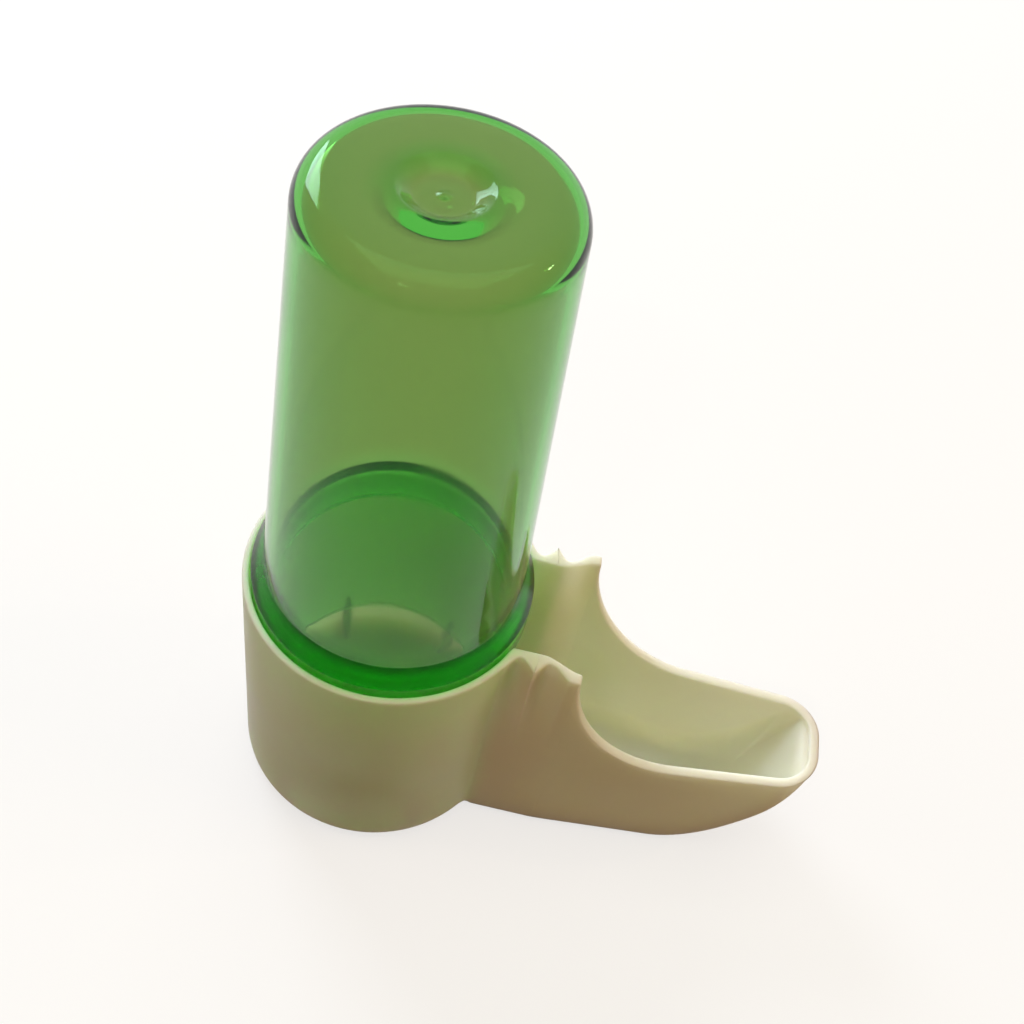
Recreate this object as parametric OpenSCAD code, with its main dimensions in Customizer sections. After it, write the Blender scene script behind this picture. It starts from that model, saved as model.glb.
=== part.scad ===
// Tube drinker for a small bird cage: an upturned clear reservoir tube plugged into a
// moulded base. The cup of the base holds the tube, a neck passes between the cage
// wires, and the water stands in the slipper-shaped trough at the neck's far end.
// Millimetres. Z is up from the table, X runs from the cup's axis to the trough's lip.

/* [Cup] */
// Outside diameter of the cup at its rim
cup_d = 42; // [36:0.5:52]
// Height of the cup's rim above the table
cup_h = 44; // [36:0.5:54]
// Wall of the base moulding
base_wall = 1.2; // [1:0.1:1.6]
// Thickness of the base's floor
floor_t = 1.5; // [1.2:0.1:2.5]
// Draft of the cup: its radius at the foot is smaller by this much
cup_draft = 0.4; // [0:0.1:0.8]
// Radius of the rounded edge round the cup's foot
cup_foot_r = 3; // [1:0.25:4]

/* [Neck] */
// Length of the neck beyond the cup's outside
neck_l = 7.7; // [6.5:0.1:12]
// Width over the ridges on the neck's outer faces
neck_w = 22.2; // [21:0.2:25]
// Width of the channel between the neck's walls where it leaves the cup
channel_w = 15.4; // [10:0.2:16]
// Length over which the channel flares to the trough's width
flare_l = 5.8; // [3:0.2:7]
// Radius of the upright grooves that take the cage wires
groove_r = 1.6; // [1:0.1:1.7]
// Depth of those grooves below the ridges
groove_depth = 2; // [1:0.1:2.2]
// Distance between the two grooves of one side
groove_pitch = 3.6; // [3.5:0.1:4]
// Height of the grooves' closed lower ends above the table
groove_foot_h = 6; // [4:0.5:16]

/* [Trough] */
// Length of the trough from the neck's end to the tip of the lip
trough_l = 39.5; // [32:0.2:50]
// Outside width of the trough at its tip
tip_w = 15.2; // [13:0.2:18]
// Corner radius of the tip, seen from above
tip_r = 6; // [4:0.2:6.4]
// Height of the trough's rim where it is lowest
trough_rim_h = 22.6; // [19:0.2:26]
// Height of the rim at the lip
lip_h = 24.2; // [20:0.2:27]
// Length of the sweep from the neck's end down to the trough's rim
sweep_l = 17.2; // [12:0.2:24]
// Length of the upswept toe under the lip
toe_l = 21; // [16:0.2:26]
// How sharply the toe turns up: 1 is a straight ramp
toe_power = 2; // [1.6:0.1:3]
// Draft of the trough's walls: each side is narrower at the floor by this much
trough_draft = 0.2; // [0:0.1:1.6]
// Radius of the rounded edges along the water space's floor
keel_in_r = 1.2; // [0.5:0.1:3]
// Radius of the trough's rounded lower edges
keel_r = 1.6; // [1:0.1:4]

/* [Reservoir tube] */
// Height of the tube's open mouth above the table
mouth_h = 11; // [7:0.5:16]
// Length of the tube from its mouth to its closed end
tube_l = 101; // [80:1:120]
// Outside diameter of the tube where it meets the collar
tube_d = 36.2; // [32:0.2:37]
// Outside diameter of the tube at its closed end
tube_top_d = 31.2; // [28:0.2:35]
// Wall of the tube
tube_wall = 1.4; // [1:0.1:2]
// Outside radius of the closed end's edge
top_r = 3.5; // [2.5:0.1:6]
// Diameter of the gate well in the closed end, half way down its flank
well_d = 8.5; // [8:0.5:16]
// Depth of the gate well
well_depth = 1.3; // [1:0.1:4]
// Slope of the well's flank from the level
well_slope = 34; // [25:1:60]
// Radius of the well's rim and of its floor's edge
well_r = 0.9; // [0.3:0.1:1]
// Diameter of the gate mark left in the well
gate_d = 1.4; // [0.6:0.1:2]
// Height of the gate mark
gate_h = 0.7; // [0.2:0.1:0.8]

/* [Fit of the tube in the cup] */
// Clearance between the collar and the cup's wall
collar_gap = 0.25; // [0.15:0.05:0.4]
// Height of the collar above the cup's rim
collar_above = 2.5; // [2:0.25:8]
// Height of the hollow sweep from the collar's top up to the tube's wall
collar_sweep = 2; // [0.5:0.1:4]
// Depth of the collar below the cup's rim
collar_below = 4; // [2:0.25:10]
// Radius of the collar's rounded shoulder
shoulder_r = 0.5; // [0.4:0.1:1.2]
// Lead-in chamfer under the collar
collar_lead = 0.6; // [0.2:0.1:1]
// Thickness of the stop fins that carry the tube's mouth
fin_t = 1.4; // [1:0.1:2.5]
// Ledge left on each fin inside the tube's bore
fin_ledge = 0.6; // [0.2:0.1:2]

/* [Hidden] */
$fn = 96;
cream = [0.91, 0.89, 0.78];
clear_green = [0.22, 0.62, 0.2, 0.5];
// Angles of the stop fins round the cup, clear of the channel
fin_angles = [60, 120, 240, 300];
// Straight steps in each rounded corner and in the trough's length
corner_steps = 6;
trough_steps = 10;
toe_steps = 14;
tip_steps = 8;
sweep_steps = 16;
// Least share of a section's width that its floor keeps, and most that its corners take
least_foot = 0.6;
most_corner = 0.9;
// Overlap that makes cuts and joined forms pass right through one another
eps = 0.5;
cup_r = cup_d / 2;
cup_in_r = cup_r - base_wall;
neck_x = cup_r + neck_l;
tip_x = neck_x + trough_l;
toe_x = tip_x - toe_l;
flare_x = neck_x - flare_l;
groove_y = neck_w / 2 - groove_depth + groove_r;
// The first groove touches the cup's outside
groove_x = sqrt(pow(cup_r + groove_r, 2) - pow(groove_y, 2));
tube_r = tube_d / 2;
tube_top_r = tube_top_d / 2;
bore_r = tube_r - tube_wall;
tube_top_z = mouth_h + tube_l;
// Straight part of the well's flank, and half the width that the whole flank takes
well_flank = (well_depth - 2 * well_r * (1 - cos(well_slope))) / sin(well_slope);
well_half = well_r * sin(well_slope) + well_flank * cos(well_slope) / 2;
collar_r = cup_in_r - collar_gap;
collar_top_z = cup_h + collar_above;
collar_foot_z = cup_h - collar_below;
fin_in_r = bore_r - fin_ledge;

// Points of an arc from angle a0 to angle a1
function arc(x, y, r, a0, a1) =
    [for (i = [0:corner_steps]) let (a = a0 + (a1 - a0) * i / corner_steps) [x + r * cos(a), y + r * sin(a)]];

// Smooth step from 0 to 1 as t goes from 0 to 1
function ease(t) = let (c = min(max(t, 0), 1)) c * c * (3 - 2 * c);

// Half the outside width at the rim: constant along the neck, then tapering to a round tip
function taper_w(x) = neck_w / 2 + (tip_w - neck_w) / 2 * max(x - neck_x, 0) / trough_l;
function tip_round(x, end, r) = let (u = max(x - (end - r), 0)) r - sqrt(max(r * r - u * u, 0));
function outside_w(x) = taper_w(x) - tip_round(x, tip_x, tip_r);

// Half the inside width: the channel of the neck, then one wall inside the trough
function inside_w(x) =
    let (trough = taper_w(x) - base_wall)
    let (mix = ease((x - flare_x) / (neck_x - flare_x)))
    channel_w / 2 + (trough - channel_w / 2) * mix - tip_round(x, tip_x - base_wall, tip_r - base_wall);

// Height of the underside above the table: flat, then the upswept toe
function toe_z(x, end, lip) = lip * pow(max(x - toe_x, 0) / (end - toe_x), toe_power);

// One upright section at x: two drafted sides and a floor with rounded lower corners
function section(x, w, z, top, r) =
    let (foot = max(w - trough_draft, w * least_foot))
    let (k = min(r, foot * most_corner))
    [for (p = concat([[-w, top]], arc(k - foot, z + k, k, 180, 270), arc(foot - k, z + k, k, 270, 360), [[w, top]]))
        [x, p[0], p[1]]];

// Closed loft through a list of sections with equal point counts
module loft(rings) {
    n = len(rings[0]);
    last = len(rings) - 1;
    start = [[for (i = [0:n - 1]) i]];
    finish = [[for (i = [n - 1:-1:0]) last * n + i]];
    sides = [for (k = [0:last - 1], i = [0:n - 1]) let (j = (i + 1) % n)
        each [[k * n + i, (k + 1) * n + i, k * n + j], [k * n + j, (k + 1) * n + i, (k + 1) * n + j]]];
    polyhedron(points = [for (ring = rings, p = ring) p], faces = concat(start, sides, finish));
}

// Stations along X: even along the neck and trough, closer round the tip
function stations(start, end, r) = concat(
    [for (i = [0:trough_steps - 1]) start + (toe_x - start) * i / trough_steps],
    [for (i = [0:toe_steps - 1]) toe_x + (end - r - toe_x) * i / toe_steps],
    [for (i = [0:tip_steps]) end - r + r * sin(90 * i / tip_steps)]);

// Outer form of the neck and trough, up to the rim of the cup
module neck_and_trough_outside() {
    loft([for (x = stations(0, tip_x, tip_r))
        section(x, outside_w(x), toe_z(x, tip_x, lip_h), cup_h, keel_r)]);
}

// Water space of the neck and trough, one wall inside the outer form
module neck_and_trough_inside() {
    end = tip_x - base_wall;
    loft([for (x = stations(0, end, tip_r - base_wall))
        section(x, inside_w(x), floor_t + toe_z(x, end, lip_h), cup_h + eps, keel_in_r)]);
}

// Everything above the trough's rim: a quarter ellipse down from the neck's top, then the rise to the lip
module above_trough_rim() {
    drop = cup_h - trough_rim_h;
    reach = tip_x + eps;
    reach_h = lip_h + (lip_h - trough_rim_h) * eps / (trough_l - sweep_l);
    sweep = [for (i = [0:sweep_steps]) let (a = 90 * i / sweep_steps)
        [neck_x + sweep_l * (1 - cos(a)), trough_rim_h + drop * (1 - sin(a))]];
    rotate([90, 0, 0])
        linear_extrude(neck_w * 2, center = true)
            polygon(concat([[neck_x, cup_h + eps]], sweep, [[reach, reach_h], [reach, cup_h + eps]]));
}

// Outside of the cup: slight draft and a rounded foot
module cup_outside() {
    foot = cup_r - cup_draft;
    rotate_extrude()
        polygon(concat([[0, 0]], arc(foot - cup_foot_r, cup_foot_r, cup_foot_r, 270, 360), [[cup_r, cup_h], [0, cup_h]]));
}

// Straight bore of the cup, with a rounded edge round its floor
module cup_inside() {
    r = cup_foot_r - base_wall;
    rotate_extrude()
        polygon(concat([[0, floor_t]], arc(cup_in_r - r, floor_t + r, r, 270, 360),
            [[cup_in_r, cup_h + eps], [0, cup_h + eps]]));
}

// Upright grooves on both outer faces of the neck for the cage wires
module wire_grooves() {
    for (side = [-1, 1], i = [0, 1])
        translate([groove_x + i * groove_pitch, side * groove_y, groove_foot_h])
            cylinder(r = groove_r, h = cup_h);
}

// Fins on the cup's floor that hold the tube's mouth above it, so that water runs out
module stop_fins() {
    intersection() {
        cup_outside();
        for (a = fin_angles)
            rotate(a)
                translate([fin_in_r, -fin_t / 2, floor_t / 2])
                    cube([cup_in_r + base_wall / 2 - fin_in_r, fin_t, mouth_h - floor_t / 2]);
    }
}

// Base moulding: cup, grooved neck, trough and stop fins in one piece
module drinker_base() {
    color(cream) {
        difference() {
            union() {
                cup_outside();
                difference() {
                    neck_and_trough_outside();
                    wire_grooves();
                    above_trough_rim();
                }
            }
            cup_inside();
            neck_and_trough_inside();
        }
        stop_fins();
    }
}

// Outer line of the tube from the mouth up to the gate mark on its axis
function tube_outside() = concat(
    [[tube_r, mouth_h], [tube_r, collar_foot_z], [collar_r - collar_lead, collar_foot_z],
     [collar_r, collar_foot_z + collar_lead]],
    arc(collar_r - shoulder_r, collar_top_z - shoulder_r, shoulder_r, 0, 90),
    [for (p = arc(1, 1, 1, 270, 180))
        [tube_r + p[0] * (collar_r - shoulder_r - tube_r), collar_top_z + p[1] * collar_sweep]],
    arc(tube_top_r - top_r, tube_top_z - top_r, top_r, 0, 90),
    arc(well_d / 2 + well_half, tube_top_z - well_r, well_r, 90, 90 + well_slope),
    arc(well_d / 2 - well_half, tube_top_z - well_depth + well_r, well_r, well_slope - 90, -90),
    [[gate_d / 2, tube_top_z - well_depth], [gate_d / 2, tube_top_z - well_depth + gate_h],
     [0, tube_top_z - well_depth + gate_h]]);

// Inner line of the tube from the axis under the well down to the mouth
function tube_inside() = concat(
    [[0, tube_top_z - well_depth - tube_wall]],
    arc(well_d / 2 - well_half, tube_top_z - well_depth + well_r, well_r + tube_wall, -90, well_slope - 90),
    [[well_d / 2 + well_half + (tube_wall - well_r) * tan(well_slope / 2), tube_top_z - tube_wall]],
    arc(tube_top_r - top_r, tube_top_z - top_r, top_r - tube_wall, 90, 0),
    [[bore_r, collar_top_z + collar_sweep], [bore_r, mouth_h]]);

// Reservoir tube: tapered clear shell with a closed end, a gate well and a thick collar
module reservoir_tube() {
    color(clear_green) rotate_extrude() polygon(concat(tube_outside(), tube_inside()));
}

drinker_base();
reservoir_tube();
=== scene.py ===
import bmesh
import bpy
import numpy as np
from mathutils import Matrix, Vector


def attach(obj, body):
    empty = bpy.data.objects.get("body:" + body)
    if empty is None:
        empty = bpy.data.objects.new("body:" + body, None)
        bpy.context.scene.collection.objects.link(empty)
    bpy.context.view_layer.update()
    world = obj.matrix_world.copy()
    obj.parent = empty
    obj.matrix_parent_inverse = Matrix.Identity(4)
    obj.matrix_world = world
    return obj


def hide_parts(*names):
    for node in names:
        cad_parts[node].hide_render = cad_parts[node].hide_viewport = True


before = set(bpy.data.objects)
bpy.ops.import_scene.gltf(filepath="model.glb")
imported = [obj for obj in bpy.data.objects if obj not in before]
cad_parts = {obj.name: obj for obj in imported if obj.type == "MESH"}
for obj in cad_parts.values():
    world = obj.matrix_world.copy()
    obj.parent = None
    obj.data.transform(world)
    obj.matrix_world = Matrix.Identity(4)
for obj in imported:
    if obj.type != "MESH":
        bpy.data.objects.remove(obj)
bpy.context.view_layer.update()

# Base moulding: cup, grooved neck and slipper-shaped trough, shot in one piece of cream polypropylene.
# Its walls are drafted to leave the mould, its foot and floor are rounded and its rims are softly broken.
# It stands on its flat foot, and the tube stands in it. Sizes are in millimetres.
MM = 0.001
cup_r = 20.99
cup_h = 44.0
cup_draft = 0.4
cup_foot_r = 3.0
cup_wall = 0.95
cup_in_r = cup_r - cup_wall
trough_wall = 1.6
floor_t = 1.5
neck_x = 28.7
neck_half = 11.1
channel_half = 7.7
flare_l = 5.8
# Wire grooves: their depth, the share of the wall that they run down, and the power that bows their sides
groove_depth = 2.2
groove_run = 0.5
groove_bow = 1.6
# Each side of a groove along X: its bottom, and the ridge or face beside it
groove_sides = ((19.9, 18.0), (19.9, 22.1), (24.0, 22.1), (24.0, 26.9))
tip_x = 68.2
tip_half = 7.6
tip_r = 6.0
trough_rim_h = 22.6
lip_h = 24.2
sweep_l = 17.2
toe_x = 47.2
toe_power = 2.0
trough_draft = 0.2
keel_r = 1.6
keel_in_r = 7.0
# Edge left under the lip's outer end, and where the water space ends inside the lip
lip_edge = 1.3
lip_in_x = 66.7
lip_in_depth = 0.9
# Sharpness of the soft turns from the neck to the taper and from the toe to the lip
taper_turn = 1.5
lip_turn = 2
# Radius of the broken rims, and the Gaussian spread that rounds the corners of the plan
rim_r = 0.3
corner_spread = 0.32
# The cup gives way to the neck over this stretch of X
blend_from = 16.8
blend_to = 18.6
# The floor's lines end on the middle plane, between the cup's axis and this point under the toe
spine_end = 56.0
least_cosine = 0.4
# The round at the foot of a wall takes up at most these shares of the wall's height and of the floor's reach
round_of_height = 0.8
round_of_reach = 0.7
# Rows down the outer and the inner wall, as shares of its height
outer_rows = np.array([0, 0.02, 0.08, 0.16, 0.25, 0.35, 0.45, 0.55, 0.65, 0.75, 0.85, 0.94, 1])
inner_rows = np.array([0, 0.02, 0.1, 0.25, 0.4, 0.55, 0.7, 0.85, 0.96, 1])


def ease(t):
    """Smooth step, 3 t squared less 2 t cubed, with t held between 0 and 1."""
    t = np.clip(t, 0, 1)
    return t * t * (3 - 2 * t)


def smooth_least(a, b, sharpness):
    """The lesser of a and b with a soft turn between: minus the log of a sum of falling exponentials."""
    return -np.logaddexp(-sharpness * a, -sharpness * b) / sharpness


def taper(x):
    """Half the outside width: constant along the neck, then a soft turn to a straight taper."""
    past = np.logaddexp(0, (x - neck_x) * taper_turn) / taper_turn
    return neck_half + (tip_half - neck_half) * past / (tip_x - neck_x)


def channel(x):
    """Half the inside width of the neck, which flares to one wall inside the trough."""
    return channel_half + (taper(x) - trough_wall - channel_half) * ease((x - neck_x + flare_l) / flare_l)


def trough_rim(x):
    """Height of the trough's rim: a straight rise from the end of the sweep to the lip."""
    start = neck_x + sweep_l
    return trough_rim_h + (lip_h - trough_rim_h) * (x - start) / (tip_x - start)


def toe(x, end):
    """Rise of the upswept toe, a parabola that reaches the lip's height at its end."""
    return lip_h * (np.clip(x - toe_x, 0, None) / (end - toe_x)) ** toe_power


def groove(x):
    """Depth of the wire grooves along the neck: each side climbs as a power of the distance."""
    depth = np.zeros_like(x)
    for bottom, edge in groove_sides:
        u = (x - bottom) / (edge - bottom)
        climb = groove_depth * (1 - np.clip(u, 0, 1) ** groove_bow)
        depth = np.where((u >= 0) & (u <= 1), climb, depth)
    return depth


def half_rims(count=120, groove_count=480):
    """Three rim lines of the left half, in step, from the tip to the cup's far side, as rows of x, y, z:
    the outer one with its wire grooves, the outer one without them, and the inner one."""
    t = np.linspace(0, 1, count)
    in_r = tip_r - trough_wall
    join_x = np.sqrt(cup_r ** 2 - neck_half ** 2)
    in_join_x = np.sqrt(cup_in_r ** 2 - channel_half ** 2)
    outer, plain, inner = [], [], []

    def stretch(out_x, out_y, in_x, in_y, out_z, in_z, plain_y=None):
        even = np.ones(max(np.size(out_x), count))
        bare_y = out_y if plain_y is None else plain_y
        outer.append(np.stack([out_x * even, out_y * even, out_z * even], 1))
        plain.append(np.stack([out_x * even, bare_y * even, out_z * even], 1))
        inner.append(np.stack([in_x * even, in_y * even, in_z * even], 1))

    # The flat of the lip, then the corner beside it
    lip_flat = tip_half - tip_r
    lip_in_flat = taper(lip_in_x) - trough_wall - in_r
    stretch(tip_x, lip_flat * t, lip_in_x, lip_in_flat * t, trough_rim(tip_x), trough_rim(lip_in_x))
    turn = np.pi / 2 * (1 - t)
    x = tip_x - tip_r + tip_r * np.sin(turn)
    in_x = lip_in_x - in_r + in_r * np.sin(turn)
    inset = 1 - np.cos(turn)
    stretch(x, taper(x) - tip_r * inset, in_x, taper(in_x) - trough_wall - in_r * inset,
            trough_rim(x), trough_rim(in_x))
    # The trough's straight side, then the sweep up to the neck, a quarter of an ellipse
    sweep_x = neck_x + sweep_l
    x = tip_x - tip_r + (sweep_x - tip_x + tip_r) * t
    in_x = lip_in_x - in_r + (sweep_x - lip_in_x + in_r) * t
    stretch(x, taper(x), in_x, taper(in_x) - trough_wall, trough_rim(x), trough_rim(in_x))
    x = neck_x + sweep_l * (1 - np.cos(turn))
    z = trough_rim_h + (cup_h - trough_rim_h) * (1 - np.sin(turn))
    stretch(x, taper(x), x, taper(x) - trough_wall, z, z)
    # The neck, then the cup's circle
    x = neck_x + (join_x - neck_x) * np.linspace(0, 1, groove_count)
    in_x = in_join_x + (neck_x - in_join_x) * (x - join_x) / (neck_x - join_x)
    stretch(x, neck_half - groove(x), in_x, channel(in_x), cup_h, cup_h, neck_half)
    angle = np.arctan2(neck_half, join_x)
    angle = angle + (np.pi - angle) * t
    in_angle = np.arctan2(channel_half, in_join_x)
    in_angle = in_angle + (np.pi - in_angle) * t
    stretch(cup_r * np.cos(angle), cup_r * np.sin(angle), cup_in_r * np.cos(in_angle),
            cup_in_r * np.sin(in_angle), cup_h, cup_h)
    return [np.concatenate(line) for line in (outer, plain, inner)]


def mirrored_ends(line, count):
    """Carries a line on past both ends by its own mirror image across y = 0."""
    flip = np.array([1, -1, 1])
    return np.concatenate([line[count:0:-1] * flip, line, line[-2:-2 - count:-1] * flip])


def rounded(lines, spread, step=0.04):
    """Resamples lines at even steps along the first one and rounds their corners with a Gaussian mean."""
    reach = np.concatenate([[0], np.cumsum(np.linalg.norm(np.diff(lines[0], axis=0), axis=1))])
    even = np.linspace(0, reach[-1], int(reach[-1] / step) + 1)
    count = int(4 * spread / step)
    bell = np.exp(-0.5 * (np.arange(-count, count + 1) * step / spread) ** 2)
    bell = bell / bell.sum()
    soft = []
    for line in lines:
        fine = np.stack([np.interp(even, reach, line[:, k]) for k in range(3)], 1)
        fine = mirrored_ends(fine, count)
        soft.append(np.stack([np.convolve(fine[:, k], bell, "valid") for k in range(3)], 1))
    return soft


def thinned(lines, longest, turn):
    """Keeps the points that the lines' bends need: one for each longest step or each turn in degrees."""
    need = np.zeros(len(lines[0]) - 1)
    for line in lines:
        chord = np.diff(line, axis=0)
        length = np.linalg.norm(chord, axis=1)
        way = chord / np.maximum(length, 1e-9)[:, None]
        bend = np.arccos(np.clip((way[1:] * way[:-1]).sum(1), -1, 1))
        bend = np.concatenate([[0], bend])
        need = np.maximum(need, length / longest + np.degrees(bend) / turn)
    count = np.concatenate([[0], np.cumsum(need)])
    wanted = np.linspace(0, count[-1], int(np.ceil(count[-1])) + 1)
    return [np.stack([np.interp(wanted, count, line[:, k]) for k in range(3)], 1) for line in lines]


def outward(line):
    """Level unit normals of a rim line that runs from the tip to the far side: its direction turned right."""
    way = np.gradient(line[:, :2], axis=0)
    side = np.stack([way[:, 1], -way[:, 0], np.zeros(len(line))], 1)
    side[0] = [1, 0, 0]
    side[-1] = [-1, 0, 0]
    return side / np.linalg.norm(side, axis=1)[:, None]


def rim_up(line, side):
    """Unit normals of the rim's top face: square to the rim line and to its level normal."""
    up = np.cross(side, np.gradient(line, axis=0))
    up[0] = [0, 0, 1]
    up[-1] = [0, 0, 1]
    return up / np.linalg.norm(up, axis=1)[:, None]


def rim_edge(line, side, up, inward, count=5):
    """Quarter round of the rim's edge, from the wall's face to the top, with the radius rim_r."""
    psi = np.linspace(0, np.pi / 2, count)[None, :, None]
    drop = rim_r * (1 - np.sin(psi)) * up[:, None]
    inset = rim_r * (1 - np.cos(psi)) * side[:, None] * inward
    return line[:, None] - drop - inset


def to_spine(foot, side):
    """Way and distance from a wall's foot to the middle plane, and the cosine of that way to the wall."""
    middle = np.stack([np.clip(foot[:, 0], 0, spine_end), np.zeros(len(foot))], 1)
    way = middle - foot[:, :2]
    reach = np.linalg.norm(way, axis=1)
    way = way / reach[:, None]
    return way, reach, np.clip(-(way * side[:, :2]).sum(1), least_cosine, 1)


def floor_lines(foot, side, corner, height, count=9, rows=9, spacing=1.3):
    """Lines from the foot of a wall to the middle plane: a rounded corner, then the floor at height(x)."""
    way, reach, square = to_spine(foot, side)
    phi = np.linspace(0, np.pi / 2, rows)[None]
    run = corner[:, None] * (1 - np.cos(phi)) / square[:, None]
    lift = corner[:, None] * (1 - np.sin(phi))
    rest = np.linspace(0, 1, count + 1)[None, 1:]
    rest = run[:, -1:] + (reach[:, None] - run[:, -1:]) * rest ** spacing
    run = np.concatenate([run, rest], 1)
    lift = np.concatenate([lift, np.zeros_like(rest)], 1)
    plan = foot[:, None, :2] + way[:, None] * run[..., None]
    return np.concatenate([plan, (height(plan[..., 0]) + lift)[..., None]], 2)


def wall_rows(top, foot_z, share):
    """Points straight down a wall, from its top to its foot, at the given shares of its height."""
    z = top[:, 2:] + (foot_z[:, None] - top[:, 2:]) * share[None]
    return np.concatenate([np.repeat(top[:, None, :2], len(share), 1), z[..., None]], 2)


def base_grid():
    """The base as a closed loop of section lines: underside, outer wall, rim, inner wall and floor."""
    outer, plain, inner = thinned(rounded(half_rims(), corner_spread), longest=0.9, turn=6)
    side, plain_side, in_side = outward(outer), outward(plain), outward(inner)
    up, in_up = rim_up(outer, side), rim_up(inner, in_side)
    in_cup = 1 - ease((plain[:, 0] - blend_from) / (blend_to - blend_from))

    def underside(x):
        return smooth_least(toe(x, tip_x), lip_h - lip_edge, lip_turn)

    def water_floor(x):
        return smooth_least(floor_t + toe(x, tip_x - trough_wall), lip_h - lip_in_depth, lip_turn)

    # The outer wall leans by its draft, and its grooves fade out on the way down
    top = outer - rim_r * up
    bare_top = plain + (top - outer)
    low = underside(bare_top[:, 0])
    corner = keel_r + (cup_foot_r - keel_r) * in_cup
    corner = np.minimum(corner, round_of_height * (top[:, 2] - low))
    foot_z = low + corner
    fade = 1 - ease(outer_rows / groove_run)
    walls = wall_rows(bare_top, foot_z, outer_rows)
    walls[..., :2] += (top - bare_top)[:, None, :2] * fade[None, :, None]
    draft = trough_draft + (cup_draft - trough_draft) * in_cup
    lean = draft[:, None] * (cup_h - walls[..., 2]) / (cup_h - foot_z)[:, None]
    walls -= plain_side[:, None] * lean[..., None]
    under = floor_lines(walls[:, -1], plain_side, corner, underside)

    # The inner wall stands straight, on a wide round
    in_top = inner - rim_r * in_up
    in_low = water_floor(in_top[:, 0])
    in_corner = keel_in_r + (cup_foot_r - keel_in_r) * in_cup
    way, reach, square = to_spine(in_top, in_side)
    in_corner = np.minimum(in_corner, round_of_reach * reach * square)
    in_corner = np.minimum(in_corner, round_of_height * (in_top[:, 2] - in_low))
    within = wall_rows(in_top, in_low + in_corner, inner_rows)
    water = floor_lines(within[:, -1], in_side, in_corner, water_floor)
    half = np.concatenate([
        under[:, ::-1], walls[:, -2::-1], rim_edge(outer, side, up, 1)[:, 1:],
        rim_edge(inner, in_side, in_up, -1)[:, ::-1], within[:, 1:], water[:, 1:]], 1)
    return np.concatenate([half, half[-2:0:-1] * np.array([1, -1, 1])])


def add_piece(name, grid, double_gap=0.00002):
    """Skins grids of points, each a closed ring of lines, with quads. Doubled points at seams and poles are
    merged and the faces turned outwards. Grids are in millimetres and the mesh is in metres."""
    points, faces, start = [], [], 0
    for sheet in grid:
        index = start + np.arange(sheet.shape[0] * sheet.shape[1]).reshape(sheet.shape[:2])
        following = np.roll(index, -1, axis=0)
        quads = np.stack([index[:, :-1], following[:, :-1], following[:, 1:], index[:, 1:]], 2)
        points.append(sheet.reshape(-1, 3) * MM)
        faces.append(quads.reshape(-1, 4))
        start += index.size
    mesh = bpy.data.meshes.new(name)
    mesh.from_pydata(np.concatenate(points), [], np.concatenate(faces))
    whole = bmesh.new()
    whole.from_mesh(mesh)
    bmesh.ops.remove_doubles(whole, verts=whole.verts, dist=double_gap * MM)
    bmesh.ops.recalc_face_normals(whole, faces=whole.faces)
    whole.to_mesh(mesh)
    whole.free()
    mesh.polygons.foreach_set("use_smooth", np.ones(len(mesh.polygons), bool))
    piece = bpy.data.objects.new(name, mesh)
    bpy.context.scene.collection.objects.link(piece)
    return piece


def linear(code):
    """An sRGB hex colour as linear red, green, blue and alpha: the standard's two-part curve."""
    value = np.array([int(code[k:k + 2], 16) for k in (1, 3, 5)]) / 255
    value = np.where(value <= 0.04045, value / 12.92, ((value + 0.055) / 1.055) ** 2.4)
    return (*value.tolist(), 1.0)


def cleared(owner):
    """The node tree of a material or world, emptied."""
    owner.use_nodes = True
    owner.node_tree.nodes.clear()
    return owner.node_tree


def add_node(tree, kind, settings, inputs):
    """Adds a node, sets its own settings, and fills its inputs with values or links from other sockets."""
    made = tree.nodes.new(kind)
    for key, value in settings.items():
        setattr(made, key, value)
    for key, value in inputs.items():
        if isinstance(value, bpy.types.NodeSocket):
            tree.links.new(value, made.inputs[key])
        else:
            made.inputs[key].default_value = value
    return made


# Injection-moulded polypropylene: a soft satin gloss, a slightly cloudy cream and a faint skin of flow marks.
# Light goes a few millimetres into it, so thin walls glow. A mould's own grain is finer than the one here,
# which is as coarse as it needs to be to show.
cloud_size = 11.11
grain_size = 0.625
glow_depth = 2.9
cream_plastic = bpy.data.materials.new("moulded_cream_polypropylene")
tree = cleared(cream_plastic)
place = add_node(tree, "ShaderNodeTexCoord", {}, {})
clouds = add_node(tree, "ShaderNodeTexNoise", {}, {
    "Vector": place.outputs["Object"], "Scale": 1 / (cloud_size * MM), "Detail": 3.0, "Roughness": 0.55})
cream = add_node(tree, "ShaderNodeMix", {"data_type": "RGBA"}, {
    0: clouds.outputs["Fac"], 6: linear("#e4e2cf"), 7: linear("#ebe9da")})
grain = add_node(tree, "ShaderNodeTexNoise", {}, {
    "Vector": place.outputs["Object"], "Scale": 1 / (grain_size * MM), "Detail": 2.0, "Roughness": 0.6})
satin = add_node(tree, "ShaderNodeMapRange", {}, {
    "Value": clouds.outputs["Fac"], "From Min": 0.3, "From Max": 0.7, "To Min": 0.36, "To Max": 0.48})
skin = add_node(tree, "ShaderNodeBump", {}, {
    "Height": grain.outputs["Fac"], "Strength": 0.12, "Distance": 0.1 * MM})
shader = add_node(tree, "ShaderNodeBsdfPrincipled", {}, {
    "Base Color": cream.outputs[2], "Roughness": satin.outputs["Result"], "Normal": skin.outputs["Normal"],
    "IOR": 1.49, "Specular IOR Level": 0.2, "Subsurface Weight": 1.0,
    "Subsurface Radius": (1.0, 1.0, 0.85), "Subsurface Scale": glow_depth * MM})
add_node(tree, "ShaderNodeOutputMaterial", {}, {"Surface": shader.outputs["BSDF"]})

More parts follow.
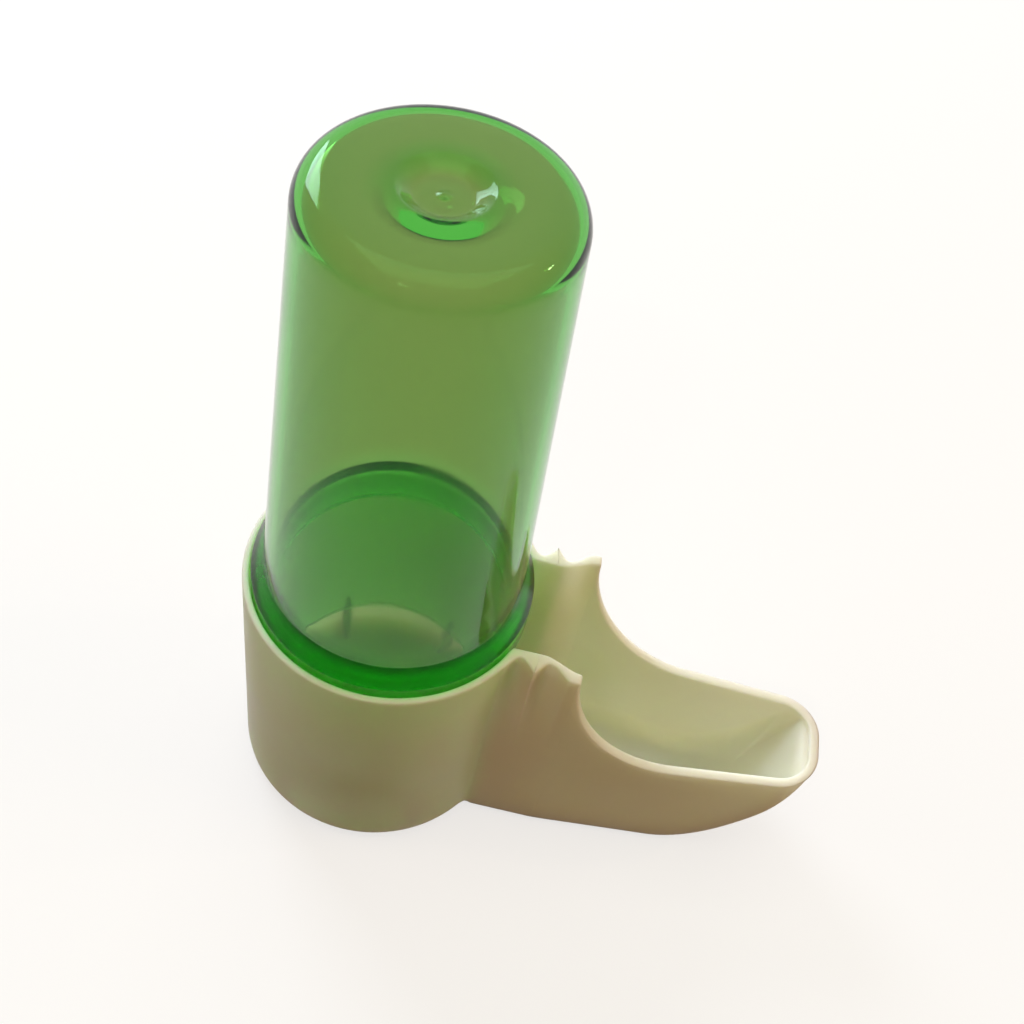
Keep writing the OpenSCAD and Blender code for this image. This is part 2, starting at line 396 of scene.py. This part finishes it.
base = add_piece("base_moulding", [base_grid()])
base.data.materials.append(cream_plastic)
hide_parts("drinker_base")
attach(base, "base")

# Stop fins: four upright ribs of the same cream moulding, on the cup's floor against its wall.
# The tube's mouth stands on their tops, so that water can run out under it.
mouth_h = 11.0
fin_half = 0.45
fin_in_r = 16.8
fin_root = 0.3
fin_draft = 0.12
fin_angles = np.radians([60, 120, 240, 300])
# Rows from the middle of the top down to the root: how far below the mouth, and the share of the full section
fin_drop = np.array([0, 0, 0, 0.04, 0.12, 0.3, 3, 6, 7, 8, 8.6, 9,
                     mouth_h - floor_t, mouth_h - floor_t + fin_root])
fin_share = np.array([0, 0.1, 0.5, 0.82, 0.94, 1, 1, 1, 1, 1, 1, 1, 1, 0])


def fin_grid(angle, count=48, squareness=0.35):
    """One rib: a squarish ring, a low power of cosine and sine, drawn from its root to a rounded top.
    Its outer end follows the quarter round between the cup's floor and wall, a root's depth inside."""
    around = np.linspace(0, 2 * np.pi, count, endpoint=False)
    ring_x = np.sign(np.cos(around)) * np.abs(np.cos(around)) ** squareness
    ring_y = np.sign(np.sin(around)) * np.abs(np.sin(around)) ** squareness
    low = np.clip((floor_t + cup_foot_r - mouth_h + fin_drop) / cup_foot_r, 0, 1)
    end_r = cup_in_r + fin_root - cup_foot_r * (1 - np.sqrt(1 - low ** 2))
    half_l = (end_r - fin_in_r) / 2
    half_t = fin_half - fin_draft * (1 - fin_drop / mouth_h)
    x = fin_in_r + half_l + ring_x[:, None] * half_l * fin_share
    y = ring_y[:, None] * half_t * fin_share
    z = np.repeat((mouth_h - fin_drop)[None], count, 0)
    return np.stack([x * np.cos(angle) - y * np.sin(angle), x * np.sin(angle) + y * np.cos(angle), z], 2)


fins = add_piece("stop_fins", [fin_grid(angle) for angle in fin_angles])
fins.data.materials.append(cream_plastic)
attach(fins, "base")

# Reservoir tube: an upturned, tapered tube of clear green polystyrene, closed at its top and mould-polished.
# A thick collar near its mouth plugs the cup, and the gate mark stands in a well in the closed end.
tube_top_z = 112.0
tube_r = 18.1
tube_top_r = 15.6
tube_wall = 1.4
bore_r = tube_r - tube_wall
top_r = 3.5
well_r = 4.25
well_depth = 1.3
well_slope = np.radians(34)
well_edge_r = 0.9
# Inside the closed end, the well's swelling falls away between these two radii
well_in_r = [2.0, 9.0]
gate_r = 0.9
gate_h = 0.3
collar_r = 19.8
collar_top_z = 48.2
# Radius and height of the edge where the collar's cone turns to its side
collar_edge = [19.5, 45.75]
collar_side_z = 45.2
collar_foot_z = 40.0
collar_lead = 0.6
tube_edge_spread = 0.1


def arc(r, z, radius, start, end, count=24):
    """Points of a round from one angle to another, in degrees, as rows of 0, r, z."""
    a = np.radians(np.linspace(start, end, count))
    return np.stack([np.zeros(count), r + radius * np.cos(a), z + radius * np.sin(a)], 1)


def tube_line(count=24):
    """Half section of the tube: from the gate mark on the axis out, down to the mouth, then up the bore."""
    floor = tube_top_z - well_depth
    under = floor - tube_wall
    flank = (well_depth - 2 * well_edge_r * (1 - np.cos(well_slope))) / np.sin(well_slope)
    half = well_edge_r * np.sin(well_slope) + flank * np.cos(well_slope) / 2
    turn = np.degrees(well_slope)
    swell = np.linspace(well_in_r[1], well_in_r[0], count)
    rise = ease((swell - well_in_r[0]) / (well_in_r[1] - well_in_r[0]))
    return np.concatenate([
        [[0, 0, floor + gate_h], [0, 0.5 * gate_r, floor + 0.7 * gate_h], [0, gate_r, floor]],
        arc(well_r - half, floor + well_edge_r, well_edge_r, -90, turn - 90),
        arc(well_r + half, tube_top_z - well_edge_r, well_edge_r, 90 + turn, 90),
        arc(tube_top_r - top_r, tube_top_z - top_r, top_r, 90, 0),
        [[0, tube_r, collar_top_z], [0, *collar_edge], [0, collar_r, collar_side_z],
         [0, collar_r, collar_foot_z + collar_lead], [0, collar_r - collar_lead, collar_foot_z],
         [0, tube_r, collar_foot_z], [0, tube_r, mouth_h], [0, bore_r, mouth_h], [0, bore_r, collar_top_z]],
        arc(tube_top_r - top_r, tube_top_z - top_r, top_r - tube_wall, 0, 90),
        np.stack([np.zeros(count), swell, under + well_depth * rise], 1),
        [[0, 0, under]]])


def turned(line, count=256):
    """A line of 0, r, z turned about the Z axis: r cos a, r sin a, z."""
    a = np.linspace(0, 2 * np.pi, count, endpoint=False)[:, None]
    r = np.abs(line[None, :, 1])
    return np.stack([r * np.cos(a), r * np.sin(a), np.repeat(line[None, :, 2], count, 0)], 2)


# Clear green polystyrene: glassy and bright at its edges, darker the deeper one looks into it.
# Above the cup the tube is tinted rose, which turns its green olive. This is yellowing in daylight, and also
# painted shade:
# it keeps that stretch darker than the stretch in the cup, which is left clear so that the cup's inside shows
# brighter through it.
# Handling has dulled it in faint patches.
# The collar was left satin by the mould, so that it reads as one dark green band.
patch_size = 16.67
yellow_and_shade_from_z = 40.0
yellow_and_shade_full_z = 54.0
satin_mid_z = 44.0
satin_half = 4.2
clear_green = bpy.data.materials.new("clear_green_polystyrene")
tree = cleared(clear_green)
place = add_node(tree, "ShaderNodeTexCoord", {}, {})
height = add_node(tree, "ShaderNodeSeparateXYZ", {}, {"Vector": place.outputs["Object"]})
# The rose tint above the cup is yellowing and also painted shade, darker than the clear stretch inside the
# cup.
yellowing_and_painted_shade = add_node(tree, "ShaderNodeMapRange", {"interpolation_type": "SMOOTHSTEP"}, {
    "Value": height.outputs["Z"], "From Min": yellow_and_shade_from_z * MM, "From Max": yellow_and_shade_full_z * MM})
tint = add_node(tree, "ShaderNodeMix", {"data_type": "RGBA"}, {
    0: yellowing_and_painted_shade.outputs["Result"], 6: linear("#ffffff"), 7: linear("#ffc5cc")})
handling = add_node(tree, "ShaderNodeTexNoise", {}, {
    "Vector": place.outputs["Object"], "Scale": 1 / (patch_size * MM), "Detail": 4.0, "Roughness": 0.6})
polish = add_node(tree, "ShaderNodeMapRange", {}, {
    "Value": handling.outputs["Fac"], "From Min": 0.4, "From Max": 0.75, "To Min": 0.02, "To Max": 0.09})
on_collar = add_node(tree, "ShaderNodeMath", {"operation": "COMPARE"}, {
    0: height.outputs["Z"], 1: satin_mid_z * MM, 2: satin_half * MM})
gloss = add_node(tree, "ShaderNodeMath", {"operation": "MULTIPLY_ADD"}, {
    0: on_collar.outputs["Value"], 1: 0.2, 2: polish.outputs["Result"]})
shader = add_node(tree, "ShaderNodeBsdfPrincipled", {}, {
    "Base Color": tint.outputs[2], "Roughness": gloss.outputs["Value"], "IOR": 1.55,
    "Transmission Weight": 1.0, "Specular Tint": linear("#5c8f5c")})
depth = add_node(tree, "ShaderNodeVolumeAbsorption", {}, {"Color": linear("#28f620"), "Density": 610.0})
add_node(tree, "ShaderNodeOutputMaterial", {}, {
    "Surface": shader.outputs["BSDF"], "Volume": depth.outputs["Volume"]})

tube_section = thinned(rounded([tube_line()], tube_edge_spread, step=0.02), longest=4, turn=6)[0]
tube = add_piece("clear_tube", [turned(tube_section)])
tube.data.materials.append(clear_green)
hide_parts("reservoir_tube")
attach(tube, "tube")

# Floor: a plain pale sheet that the drinker stands on, bright where it is seen and keeping the shadow.
# Away from the drinker it fades into the white backdrop, and the light that it throws back is warm.
floor_half = 3.0
floor_drop = 0.05 * MM
shadow_share = 0.3
fade_from = 0.2
fade_to = 0.6
floor_mesh = bpy.data.meshes.new("floor")
corner_xy = np.array([[-1, -1], [1, -1], [1, 1], [-1, 1]]) * floor_half
floor_mesh.from_pydata(np.column_stack([corner_xy, np.full(4, -floor_drop)]), [], [[0, 1, 2, 3]])
floor = bpy.data.objects.new("floor", floor_mesh)
bpy.context.scene.collection.objects.link(floor)


def shown(tree):
    """The kinds of ray, and a number that is one for rays that look: camera, glossy and transmission."""
    rays = add_node(tree, "ShaderNodeLightPath", {}, {})
    total = rays.outputs["Is Camera Ray"]
    for kind in ("Is Glossy Ray", "Is Transmission Ray"):
        total = add_node(tree, "ShaderNodeMath", {"operation": "ADD", "use_clamp": True}, {
            0: total, 1: rays.outputs[kind]}).outputs["Value"]
    return rays, total


pale_floor = bpy.data.materials.new("pale_matt_floor")
tree = cleared(pale_floor)
rays, seen = shown(tree)
bounce = add_node(tree, "ShaderNodeBsdfDiffuse", {}, {"Color": linear("#704a1c")})
paper = add_node(tree, "ShaderNodeBsdfDiffuse", {}, {"Color": linear("#f4f3f0")})
glow = add_node(tree, "ShaderNodeEmission", {}, {"Color": linear("#ffffff"), "Strength": 1.0})
place = add_node(tree, "ShaderNodeTexCoord", {}, {})
away = add_node(tree, "ShaderNodeVectorMath", {"operation": "LENGTH"}, {0: place.outputs["Object"]})
shaded = add_node(tree, "ShaderNodeMapRange", {"interpolation_type": "SMOOTHSTEP"}, {
    "Value": away.outputs["Value"], "From Min": fade_from, "From Max": fade_to,
    "To Min": shadow_share, "To Max": 0.0})
sheet = add_node(tree, "ShaderNodeMixShader", {}, {
    0: shaded.outputs["Result"], 1: glow.outputs["Emission"], 2: paper.outputs["BSDF"]})
surface = add_node(tree, "ShaderNodeMixShader", {}, {
    0: seen, 1: bounce.outputs["BSDF"], 2: sheet.outputs["Shader"]})
add_node(tree, "ShaderNodeOutputMaterial", {}, {"Surface": surface.outputs["Shader"]})
floor_mesh.materials.append(pale_floor)

# Light: a soft ceiling, a cool window behind on the left, and two small warm lamps that glint on the tube.
# A glow from behind and a fill on each side light the base, and don't show in the tube.
# The room is dim and warm, and white where it is looked at.
view_target = Vector((14.329, 19.017, 39.298)) * MM


def add_lamp(name, azimuth, elevation, distance, width, height, power, colour):
    """An area lamp that looks at the drinker from an azimuth round Z and an elevation, both in degrees."""
    a, e = np.radians([azimuth, elevation])
    way = Vector((np.cos(e) * np.cos(a), np.cos(e) * np.sin(a), np.sin(e)))
    light = bpy.data.lights.new(name, "AREA")
    light.shape = "RECTANGLE"
    light.size = width
    light.size_y = height
    light.energy = power
    light.color = linear(colour)[:3]
    lamp = bpy.data.objects.new(name, light)
    lamp.location = view_target + way * distance
    lamp.rotation_euler = way.to_track_quat("Z", "Y").to_euler()
    bpy.context.scene.collection.objects.link(lamp)
    return lamp


add_lamp("ceiling", 90, 88, 0.9, 0.8, 0.8, 3.6, "#fffcf4")
add_lamp("window", 133, 34, 0.7, 0.28, 0.26, 2.3, "#dceaff")
add_lamp("side_lamp", 15, 38, 0.7, 0.05, 0.03, 0.35, "#ffe9c8")
add_lamp("front_lamp", -108, 50, 0.7, 0.06, 0.02, 0.35, "#ffeed6")
for soft in (add_lamp("back_glow", 112, 9, 0.8, 0.9, 0.2, 6.0, "#f2f8ff"),
             add_lamp("right_fill", -2, 32, 0.8, 0.3, 0.3, 1.25, "#ffdca6"),
             add_lamp("left_fill", -172, 30, 0.8, 0.4, 0.4, 0.8, "#fff0dc")):
    soft.visible_glossy = False
    soft.visible_transmission = False
# The backdrop is white where it is seen, and brighter where it lights what lies behind the clear wall
behind_wall = 3.0
world = bpy.data.worlds.new("room")
bpy.context.scene.world = world
tree = cleared(world)
rays, seen = shown(tree)
room = add_node(tree, "ShaderNodeBackground", {}, {"Color": linear("#e6c080"), "Strength": 0.26})
lit = add_node(tree, "ShaderNodeMath", {"operation": "MULTIPLY", "use_clamp": True}, {
    0: rays.outputs["Diffuse Depth"], 1: rays.outputs["Is Transmission Ray"]})
daylight = add_node(tree, "ShaderNodeMath", {"operation": "MULTIPLY_ADD"}, {
    0: lit.outputs["Value"], 1: behind_wall, 2: 1.0})
backdrop = add_node(tree, "ShaderNodeBackground", {}, {
    "Color": linear("#ffffff"), "Strength": daylight.outputs["Value"]})
both = add_node(tree, "ShaderNodeMixShader", {}, {
    0: seen, 1: room.outputs["Background"], 2: backdrop.outputs["Background"]})
add_node(tree, "ShaderNodeOutputWorld", {}, {"Surface": both.outputs["Shader"]})

# Camera: held above the drinker and turned a little, as for a snapshot.
# Its place, turn and focal length are those at which the outlines of the cup, tube and trough fit.
camera_azimuth, camera_elevation, camera_roll = np.radians([-0.656, 51.525, 13.649])
camera_distance = 200.423 * MM
focal_share = 1314.811 / 1024
back = Vector((np.sin(camera_azimuth) * np.cos(camera_elevation),
               -np.cos(camera_azimuth) * np.cos(camera_elevation), np.sin(camera_elevation)))
level = Vector((0, 0, 1)).cross(back).normalized()
upright = back.cross(level)
across = level * np.cos(camera_roll) + upright * np.sin(camera_roll)
rising = upright * np.cos(camera_roll) - level * np.sin(camera_roll)
lens = bpy.data.cameras.new("camera")
lens.sensor_width = 36.0
lens.lens = focal_share * lens.sensor_width
lens.clip_start = 0.01
camera = bpy.data.objects.new("camera", lens)
camera.matrix_world = Matrix.Translation(view_target + back * camera_distance) @ Matrix(
    (across, rising, back)).transposed().to_4x4()
bpy.context.scene.collection.objects.link(camera)
bpy.context.scene.camera = camera
bpy.context.scene.view_settings.view_transform = "Standard"
